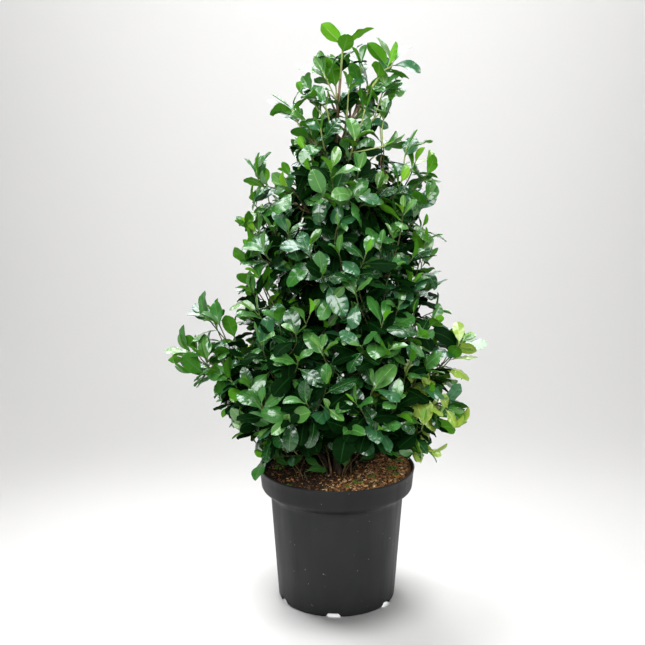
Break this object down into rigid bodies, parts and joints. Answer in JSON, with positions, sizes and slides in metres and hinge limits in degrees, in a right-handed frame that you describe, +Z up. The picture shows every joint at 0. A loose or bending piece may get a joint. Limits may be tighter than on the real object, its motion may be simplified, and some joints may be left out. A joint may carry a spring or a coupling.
{
  "type": "potted cherry laurel",
  "caption": "Evergreen cherry laurel shrub trained as a loose cone, its stems, boughs and masses of foliage standing in compost in a round nursery pot.",
  "frame": {"origin": "middle of the pot's flat underside", "axes": "+Z up along the pot's axis and the leading stem; -Y is the front that the picture shows; +X is to the right in the picture"},
  "size_m": [0.6482, 0.5495, 1.205],
  "materials": {
    "pot": "matt charcoal-black moulded plastic",
    "compost": "rough brown bark and coir",
    "bark": "dull brown bark",
    "foliage": "glossy dark green leaves"
  },
  "bodies": {
    "root": {"pot": "pot", "soil": "compost", "stem_leader": "bark", "stem_left": "bark", "stem_right": "bark", "stem_front": "bark", "stem_back": "bark", "stem_front_left": "bark", "bough_low_left": "bark", "bough_low_right": "bark", "bough_middle_back": "bark", "bough_middle_front": "bark", "bough_upper_left": "bark", "bough_top_right": "bark", "skirt_right": "foliage", "skirt_back_right": "foliage", "skirt_back": "foliage", "skirt_back_left": "foliage", "skirt_left": "foliage", "skirt_front_left": "foliage", "skirt_front": "foliage", "skirt_front_right": "foliage", "lower_right": "foliage", "lower_back_right": "foliage", "lower_back_left": "foliage", "lower_left": "foliage", "lower_front_left": "foliage", "lower_front_right": "foliage", "middle_back_right": "foliage", "middle_back": "foliage", "middle_back_left": "foliage", "middle_front_left": "foliage", "middle_front": "foliage", "middle_front_right": "foliage", "upper_right": "foliage", "upper_back_right": "foliage", "upper_back_left": "foliage", "upper_left": "foliage", "upper_front": "foliage", "crest_back_right": "foliage", "crest_back_left": "foliage", "crest_front_left": "foliage", "crest_front_right": "foliage", "top_back_right": "foliage", "top_back_left": "foliage", "top_front": "foliage", "leader_tip": "foliage", "right_tip": "foliage", "upper_left_spray": "foliage", "crest_right_spray": "foliage", "shoulder_right": "foliage", "shoulder_left": "foliage", "low_left_shoot": "foliage", "low_left_tip": "foliage", "low_right_tip": "foliage", "low_right_spray": "foliage", "left_droop": "foliage", "right_droop": "foliage", "back_left_spray": "foliage", "back_right_spray": "foliage"}
  },
  "joints": []
}
